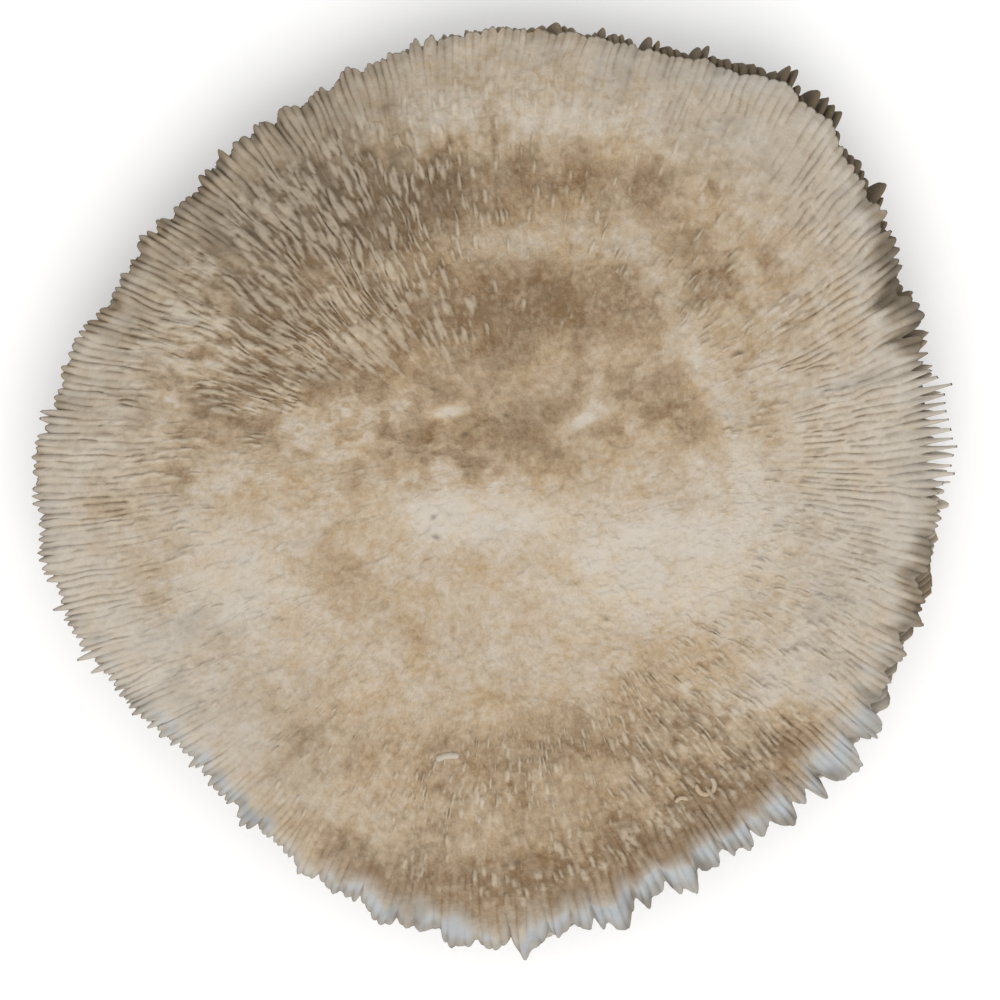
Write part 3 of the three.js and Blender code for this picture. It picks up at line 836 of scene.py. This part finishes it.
def face_ring(share):
    """Points of the ribbed face at one share of the wall's radius, with how pale and dirty they are
    and how far inside the rim's edge they lie."""
    ribs = ribs_at(share)
    place, profile = np.array(RIB_COLUMNS, float).T
    rib, column = np.divmod(np.arange(ribs * len(place)), len(place))
    turn = (rib + place[column]) / ribs
    groove = (rib + (column >= len(place) // 2)) * (RIBS // ribs) % RIBS
    rib, crest = rib * (RIBS // ribs), profile[column]
    angle = rib_angle(turn, share)
    radius = share * wall_radius(angle)
    even = 2 * math.pi * turn
    outer = smooth(MARGIN_BEGIN, 1, share)
    reach = margin(turn, angle) * outer
    tooth = tooth_reach(rib, angle, crest)
    pointed = smooth(TOOTH_BEGIN, 1, share)
    inside = wall_radius(angle) * (1 - share) + margin(turn, angle) * (1 - outer) + tooth * (1 - pointed)

    crest = crest + (1 - crest) * groove_fill(radius, groove)
    ridge = ridge_shown(share, angle, radius)
    least, spread = RIB_RISE_SPREAD
    rib_rise = around(RIB_RISE, angle) * ridge * (least + spread * irregular(rib, 49))
    rib_rise *= broken(radius / RIB_PART, rib, 62, RIB_GAP)
    shown = relief_shown(share, angle, radius) * (1 - RIDGE_OVER_RELIEF * ridge)
    stroke = strokes(even, radius)
    stroke_rise = around(STROKE_RISE, angle) * (STROKE_LEAST + (1 - STROKE_LEAST) * shown)
    stroke_rise = stroke_rise * smooth(*STROKE_BEGINS, share) * (1 - STROKE_LOST * outer)
    raised = smooth(*KNOB_SHOWN, shown) * (1 - smooth(*KNOB_END, share))
    knob = raised * scattered(share, even, radius, KNOB_COLUMNS, KNOB_SPACING, around(KNOB_HALF_WIDTH, angle),
                              around(KNOB_HALF_LENGTH, angle), around(KNOB_SHARE, angle))
    worn = (1 - smooth(*GRANULE_END, share)) * (1 - crust(angle, radius)) * smooth(*GRANULE_BEGINS, share)
    granule = worn * scattered(share, even + 1, radius, GRANULE_COLUMNS, GRANULE_SPACING, GRANULE_HALF_WIDTH,
                               around(GRANULE_HALF_LENGTH, angle), around(GRANULE_SHARE, angle))
    depth = (1 - crest) ** GROOVE_SHARPNESS * groove_depth(share, angle, radius, groove) * shown

    height = face_height(share, angle) + rib_rise * crest + stroke_rise * stroke - depth
    height += KNOB_RISE * knob + GRANULE_RISE * granule
    height += (lobe_tilt(turn) - MARGIN_DROP) * reach
    x, y = radius * np.cos(angle), radius * np.sin(angle)
    for number, (size, half) in enumerate(GRAIN):
        height += half * noise(x / size, y / size, 40 + number)
    flakes = thin_flakes(x, y) * (1 - RIDGE_OVER_FLAKES * ridge)
    height += flakes
    points = placed(radius + reach + tooth * pointed, angle, height)

    pale = PALE_STROKE * stroke_rise * stroke + knob + PALE_GRANULE * granule + PALE_FLAKE * flakes
    pale += around(RIB_PALE, angle) * ridge * crest
    gaps = DIRT_STROKE * stroke_rise * (1 - stroke) + DIRT_GROOVE * depth
    gaps = gaps + DIRT_RIDGE * ridge * (1 - crest) ** 2
    dirt = np.clip(gaps, 0, 1) * (1 - np.clip(knob, 0, 1))
    return points, np.clip(pale, 0, 1), dirt, inside


def under_ring(share, drop, ribs):
    """Points under the face at one share of the wall's radius."""
    columns = len(RIB_COLUMNS)
    turn = np.arange(columns * ribs) / (columns * ribs)
    angle = rib_angle(turn, share)
    reach = margin(turn, angle) * smooth(MARGIN_BEGIN, 1, share)
    height = face_height(share, angle) - drop + (lobe_tilt(turn) - MARGIN_DROP) * reach
    return placed(share * wall_radius(angle) + reach, angle, height)


def ribbed_face(material):
    """The domed face as four rings of mesh, the outermost closed underneath."""
    typical_radius = float(np.mean(wall_radius(np.linspace(0, 6, 50))))
    ring_count = round(typical_radius / RING_STEP)
    shares = np.arange(1, ring_count + 1) / ring_count
    upper = [face_ring(share) for share in shares]
    under = [under_ring(share, drop, RIBS // every) for share, drop, every in UNDER_RINGS]
    middle = np.zeros(1)
    top = placed(middle, middle, face_height(middle, middle))
    bottom = placed(middle, middle, face_height(middle, middle) - WALL_THICKNESS)
    points = np.concatenate([*(ring[0] for ring in upper), *under, top, bottom])
    plain = np.zeros(sum(len(ring) for ring in under) + 2)
    pale = np.concatenate([*(ring[1] for ring in upper), plain])
    dirt = np.concatenate([*(ring[2] for ring in upper), plain])
    under_inside = [np.full(len(ring), ROUGH_RADIUS * (1 - share))
                    for ring, (share, drop, every) in zip(under, UNDER_RINGS)]
    deep = middle + ROUGH_RADIUS
    inside = np.concatenate([*(ring[3] for ring in upper), *under_inside, deep, deep])
    sizes = [len(ring[0]) for ring in upper] + [len(ring) for ring in under]
    rings = np.split(np.arange(sum(sizes)), np.cumsum(sizes)[:-1])
    first, last = rings[0], rings[-1]
    top_fan = np.stack([np.full(len(first), sum(sizes)), first, np.roll(first, -1)], 1)
    bottom_fan = np.stack([np.full(len(last), sum(sizes) + 1), np.roll(last, -1), last], 1)
    half, middle_ring, outer = np.searchsorted(shares, FACE_CUTS)
    parts = {
        "middle_face": np.concatenate([top_fan, bands(rings[: half + 1])]),
        "inner_ring_face": bands(rings[half: middle_ring + 1]),
        "outer_ring_face": bands(rings[middle_ring: outer + 1]),
        "rim_face": np.concatenate([bands(rings[outer:]), bottom_fan]),
    }
    normals = point_normals(points, np.concatenate(list(parts.values())))
    looks = face_looks(points, pale, dirt, inside)
    for name, triangles in parts.items():
        used, corners = np.unique(triangles, return_inverse=True)
        piece_looks = {look: values[used] for look, values in looks.items()}
        piece = make_piece(name, points[used], corners.reshape(-1, 3), piece_looks, material, normals[used])
        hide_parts(NODE)


def worm_tubes(material):
    """Small curled lime tubes that worms left on the face."""
    corner = 2 * math.pi * np.arange(TUBE_SIDES) / TUBE_SIDES
    number = np.arange(TUBE_SIDES * TUBE_STEPS).reshape(TUBE_STEPS, TUBE_SIDES)
    t = np.linspace(0, 1, TUBE_STEPS)[:, None]
    section = np.sqrt(np.clip(1 - (2 * t - 1) ** TUBE_END_POWER, TUBE_END_LEAST, 1))
    points, triangles, white = [], [], []
    for x, y, curl, first, sweep, tube, whiteness in WORM_TUBES:
        turn = np.radians(first + sweep * t)
        thick = tube * section
        out = curl * (1 - TUBE_TIGHTENING * t) + thick * np.cos(corner)
        path_x = GROWTH_CENTRE[0] + x + out * np.cos(turn)
        path_y = GROWTH_CENTRE[1] + y + out * np.sin(turn)
        radius, angle = polar(np.stack([path_x, path_y], 2).reshape(-1, 2))
        ground = face_height(radius / wall_radius(angle), angle).reshape(TUBE_STEPS, TUBE_SIDES)
        height = ground + TUBE_LIFT + thick * np.sin(corner)
        triangles.append(bands(list(number)) + len(points) * number.size)
        points.append(np.stack([path_x, path_y, height], axis=2).reshape(-1, 3))
        white.append(np.full(number.size, whiteness))
    points = np.concatenate(points)
    plain = np.zeros(len(points))
    looks = {
        "stain": plain + TUBE_STAIN,
        "dark": plain,
        "white": np.concatenate(white),
        "pale": plain + TUBE_PALE,
    }
    make_piece("worm_tubes", points, np.concatenate(triangles), looks, material)


def mouth_depth(radius, angle):
    """How far gills' edges stand back round the mouth slot."""
    turned = angle - math.radians(MOUTH_TURN)
    lengthwise = radius * np.cos(turned) / MOUTH_HALF_LENGTH
    across = radius * np.sin(turned) / MOUTH_HALF_WIDTH
    return MOUTH_DEPTH * np.exp(-(lengthwise ** 4) - across ** 2)


def gill_start(gill):
    """Share of the wall's radius where a gill ends near the mouth."""
    late = GILL_START_SPREAD * irregular(gill, 31)
    start = late
    for every, share in GILL_STARTS:
        start = np.where(gill % every == 0, share + late, start)
    return np.where(gill % LONGEST_EVERY == 0, LONGEST_START, start)


def gill_reach(gill, angle):
    """How far a gill's end stands out past the wall: free in the comb, following the lobes elsewhere."""
    free = around(COMB, angle)
    uneven = 1 - (GILL_UNEVEN + COMB_UNEVEN * free) * irregular(gill, 41)
    follows = np.maximum(lobe(crest_turn(gill)), FOLLOW_LEAST) ** FOLLOW_POWER
    return around(GILL_OVERHANG, angle) * around(GILL_SHARE, angle) * uneven * (free + (1 - free) * follows)


def gills(kind, gill, material):
    """Upright plates from near the mouth to past the rim, with toothed edges and leaning outer ends."""
    inner_steps = GILL_STEPS[kind]
    count = len(gill)
    gill = gill[:, None]
    t = np.linspace(0, 1, inner_steps)[None]
    end = np.linspace(0, 1, GILL_END_STEPS + 1)[None, 1:]
    turn = crest_turn(gill)
    rim_angle = rib_angle(turn, 1.0)
    wall = wall_radius(rim_angle)
    start = gill_start(gill)
    share = np.concatenate([start + (1 - start) * t, np.ones((count, GILL_END_STEPS))], axis=1)
    past = np.concatenate([np.zeros((count, inner_steps)), np.repeat(end, count, 0)], axis=1)
    angle = rib_angle(turn, share)
    radius = np.where(past > 0, wall + gill_reach(gill, rim_angle) * past, share * wall_radius(angle))

    covered = margin(turn, rim_angle)
    free = around(COMB, rim_angle)
    edge = face_height(1.0, rim_angle) + COMB_RISE * free - LOBE_SINK * (1 - free)
    buried = face_height(share, angle) - 0.5 * WALL_THICKNESS
    sunk = MARGIN_DROP * covered * past + COVERED_SINK * smooth(*MARGIN_COVERS, covered)
    top = buried + (edge - buried) * smooth(GILL_RISES, 1, share) - sunk
    top = top - GILL_END_DROOP * past ** GILL_DROOP_POWER
    step = MINOR_GILL_STEP if kind == "minor" else 0
    crest = along(GILL_EDGE, share) + mouth_depth(radius, angle) + step
    tooth = GILL_TOOTH * (0.5 + 0.5 * noise(radius / GILL_TOOTH_LENGTH, gill * GILL_APART, seed=43))
    inner_rise = GILL_INNER_RISE * (1 - smooth(0, GILL_INNER_LENGTH, share - start))
    under_top = top - GILL_LEAST_HEIGHT
    bottom = np.minimum(np.maximum(crest + tooth + inner_rise, 0), under_top)
    hang = edge - GILL_END_HANG - HANG_TOOTH * tooth[:, inner_steps - 1: inner_steps]
    rounded = np.sqrt(np.clip(1 - past ** 2, 0, 1))
    end_bottom = under_top - (under_top - hang) * rounded + tooth * rounded * END_TOOTH
    bottom = np.where(past > 0, np.minimum(end_bottom, top - GILL_END_LEAST_HEIGHT), bottom)

    number = lobe_number(turn)
    least, spread = GILL_LEAN_SPREAD
    lean = around(GILL_LEAN, rim_angle) * (least + spread * irregular(number, 45))
    lean = lean * smooth(GILL_LEAN_BEGIN, 1, share)
    sway = GILL_SWAY * np.sin(radius / GILL_SWAY_LENGTH + GILL_SWAY_SPREAD * irregular(gill, 47))
    comb_tip = 1 - COMB_TAPER * past
    lobe_tip = (1 + END_SWELL * past) * np.sqrt(1 - END_ROUND * past ** END_ROUND_POWER)
    half = GILL_THICKNESS[kind] / 2 * (free * comb_tip + (1 - free) * lobe_tip)
    aside = np.stack([-np.sin(angle), np.cos(angle), 0 * angle], axis=-1)
    outward = np.stack([np.cos(angle), np.sin(angle), 0 * angle], axis=-1)
    outward = outward * past[:, :, None] ** END_FACING_POWER
    loop, facing = [], []
    for level, thin, side, rise in GILL_LOOP:
        height = top + (bottom - top) * level
        middle = lean * (edge - height) + sway * level
        loop.append(placed(radius, angle, height, middle + side * half * thin))
        facing.append(side * aside + outward + np.array([0, 0, rise]))
    points, normals = np.stack(loop, axis=2), np.stack(facing, axis=2)
    normals /= np.linalg.norm(normals, axis=-1, keepdims=True)
    steps, corners = points.shape[1], points.shape[2]

    ring = np.arange(steps * corners).reshape(steps, corners)
    caps = [np.array([[n[0], n[5], n[1]], [n[1], n[5], n[4]], [n[1], n[4], n[2]], [n[2], n[4], n[3]]])
            for n in (ring[0], ring[-1][::-1])]
    one = np.concatenate([bands(list(ring)), *caps])
    triangles = (one[None] + (np.arange(count) * steps * corners)[:, None, None]).reshape(-1, 3)

    at_rim = smooth(GILL_LOOKS_BEGIN, 1, share)
    top_edges = np.array([1, 0, 0, 0, 0, 1])  # which points of the loop are on the top edges, paler by painted light
    # The painted shade is lifted on the top edges by painted light.
    shaded = 1 - (TOP_EDGE_PAINTED_LIGHT + COMB_TOP_EDGE_PAINTED_LIGHT * free[:, :, None]) * top_edges
    # Painted shade on the gills' ends at the rim.
    dark = ((around(GILL_PAINTED_SHADE, rim_angle) * at_rim)[:, :, None] * shaded).ravel()
    white = GILL_WHITE * around(RIM_WHITE, rim_angle) * at_rim
    white = np.repeat(white[:, :, None], corners, 2).ravel()
    points = points.reshape(-1, 3)
    looks = {
        "stain": np.clip(GILL_STAIN + GILL_PAINTED_SHADE_STAIN * dark, 0, 1),
        "dark": dark,
        "white": white * (1 - dark),
        "pale": np.zeros(len(points)),
    }
    make_piece(kind + "_gills", points, triangles, looks, material, normals.reshape(-1, 3))


def coral_material():
    """Chalky coral stone: cream to brown by stain, darkened in places by specks, grey tint and painted shade,
    bleached in others, with painted cool light on the whitest lobes, paler on raised parts.
    """
    material = bpy.data.materials.new("coral")
    material.use_nodes = True
    nodes, links = material.node_tree.nodes, material.node_tree.links

    def add(kind, output, inputs, **settings):
        """Output of a new node, whose inputs are plain values or other nodes' outputs."""
        node = nodes.new("ShaderNode" + kind)
        for name, setting in settings.items():
            setattr(node, name, setting)
        for name, given in inputs.items():
            if isinstance(given, bpy.types.NodeSocket):
                links.new(given, node.inputs[name])
            else:
                node.inputs[name].default_value = given
        return node.outputs[output]

    def value(name):
        return add("Attribute", "Fac", {}, attribute_name=name)

    def grain(name):
        scale, detail, roughness = STONE_GRAIN[name]
        inputs = {"Vector": place, "Scale": scale, "Detail": detail, "Roughness": roughness}
        return add("TexNoise", "Fac", inputs)

    def sums(operation, a, b, clamp=False):
        return add("Math", 0, {0: a, 1: b}, operation=operation, use_clamp=clamp)

    def between(low, high, given):
        inputs = {"From Min": low, "From Max": high, "Value": given}
        return add("MapRange", "Result", inputs, interpolation_type="SMOOTHSTEP")

    def mixed(amount, under, over, blend="MIX"):
        inputs = {"Factor": amount, "A": under, "B": over}
        return add("Mix", "Result", inputs, data_type="RGBA", blend_type=blend)

    def swing(name):
        return sums("MULTIPLY", sums("SUBTRACT", fine[name], 0.5), STAIN_SWING[name])

    place = add("TexCoord", "Object", {})
    fine = {name: grain(name) for name in STAIN_SWING}
    uneven = sums("ADD", sums("ADD", swing("blotch"), swing("speckle")), swing("pore"))
    ramp = nodes.new("ShaderNodeValToRGB")
    ramp.color_ramp.elements[0].color = CREAM
    ramp.color_ramp.elements[1].color = BROWN
    ramp.color_ramp.elements.new(TAN_STAIN).color = TAN
    links.new(sums("ADD", value("stain"), uneven, clamp=True), ramp.inputs["Fac"])
    clean = sums("SUBTRACT", 1.0, sums("MULTIPLY", value("stain"), CHALK_STAIN), clamp=True)
    chalk = sums("MULTIPLY", between(*CHALK_EDGE, grain("chalk")), clean)
    warm = between(*WARM_EDGE, grain("warm"))
    colour = mixed(warm, ramp.outputs["Color"], WARM_TINT, "MULTIPLY")
    colour = mixed(sums("MULTIPLY", chalk, CHALK_STRENGTH), colour, CHALK)
    colour = mixed(value("white"), colour, LIME_WHITE)
    # Painted cool light on the whitest lobes.
    colour = mixed(between(*BLUE_LIT_EDGE, value("white")), colour, BLUE_LIT_WHITE)
    # Darkening: specks and grey tint, and painted shade on gill ends, lobe tips and some white lobes.
    colour = mixed(sums("MULTIPLY", value("dark"), DARK_STRENGTH), colour, DARK_DIRT_AND_SHADE)
    colour = mixed(sums("MULTIPLY", value("pale"), PALE_STRENGTH), colour, PALE_CREST)
    rough = sums("ADD", fine["speckle"], sums("MULTIPLY", fine["pore"], BUMP_PORES))
    bump = add("Bump", "Normal", {"Strength": BUMP_STRENGTH, "Distance": BUMP_DISTANCE, "Height": rough})
    shader = nodes["Principled BSDF"]
    shader.inputs["Specular IOR Level"].default_value = STONE_SPECULAR
    shader.inputs["Roughness"].default_value = STONE_ROUGHNESS
    links.new(colour, shader.inputs["Base Color"])
    links.new(bump, shader.inputs["Normal"])
    return material


def floor():
    """A plain pale floor, well past the camera's view."""
    mesh = bpy.data.meshes.new("floor")
    sides = ((-1, -1), (1, -1), (1, 1), (-1, 1))
    corners = [(x * FLOOR_HALF, y * FLOOR_HALF, FLOOR_HEIGHT) for x, y in sides]
    mesh.from_pydata(corners, [], [(0, 1, 2, 3)])
    material = bpy.data.materials.new("floor")
    material.use_nodes = True
    shader = material.node_tree.nodes["Principled BSDF"]
    shader.inputs["Base Color"].default_value = FLOOR_COLOUR
    shader.inputs["Roughness"].default_value = FLOOR_ROUGHNESS
    mesh.materials.append(material)
    plane = bpy.data.objects.new("floor", mesh)
    bpy.context.scene.collection.objects.link(plane)


def camera():
    """Straight above the coral, with the photograph's framing."""
    span = SOLID_HIGH.y - SOLID_LOW.y
    distance = span / FRAME_FILLED * LENS / SENSOR
    data = bpy.data.cameras.new("camera")
    data.lens = LENS
    data.sensor_width = SENSOR
    eye = bpy.data.objects.new("camera", data)
    eye.location = (*CAMERA_PLACE, WALL_EDGE_HEIGHT * MM + distance)
    bpy.context.scene.collection.objects.link(eye)
    bpy.context.scene.camera = eye


def window_light():
    """One large soft lamp that faces the coral."""
    data = bpy.data.lights.new("window", "AREA")
    data.energy = WINDOW_POWER
    data.size = WINDOW_SIZE
    data.color = WINDOW_COLOUR
    lamp = bpy.data.objects.new("window", data)
    lamp.location = WINDOW_PLACE
    lamp.rotation_euler = (-Vector(WINDOW_PLACE)).to_track_quat("-Z", "Y").to_euler()
    bpy.context.scene.collection.objects.link(lamp)


def lights():
    """Soft window-like light from below the picture, and an even pale surround."""
    window_light()
    world = bpy.data.worlds.new("surround")
    world.use_nodes = True
    background = world.node_tree.nodes["Background"]
    background.inputs["Color"].default_value = SURROUND_COLOUR
    background.inputs["Strength"].default_value = SURROUND_STRENGTH
    bpy.context.scene.world = world
    bpy.context.scene.view_settings.view_transform = "Standard"


coral = coral_material()
ribbed_face(coral)
worm_tubes(coral)
every_gill = np.arange(RIBS)
gills("major", every_gill[::2], coral)
gills("minor", every_gill[1::2], coral)
floor()
camera()
lights()
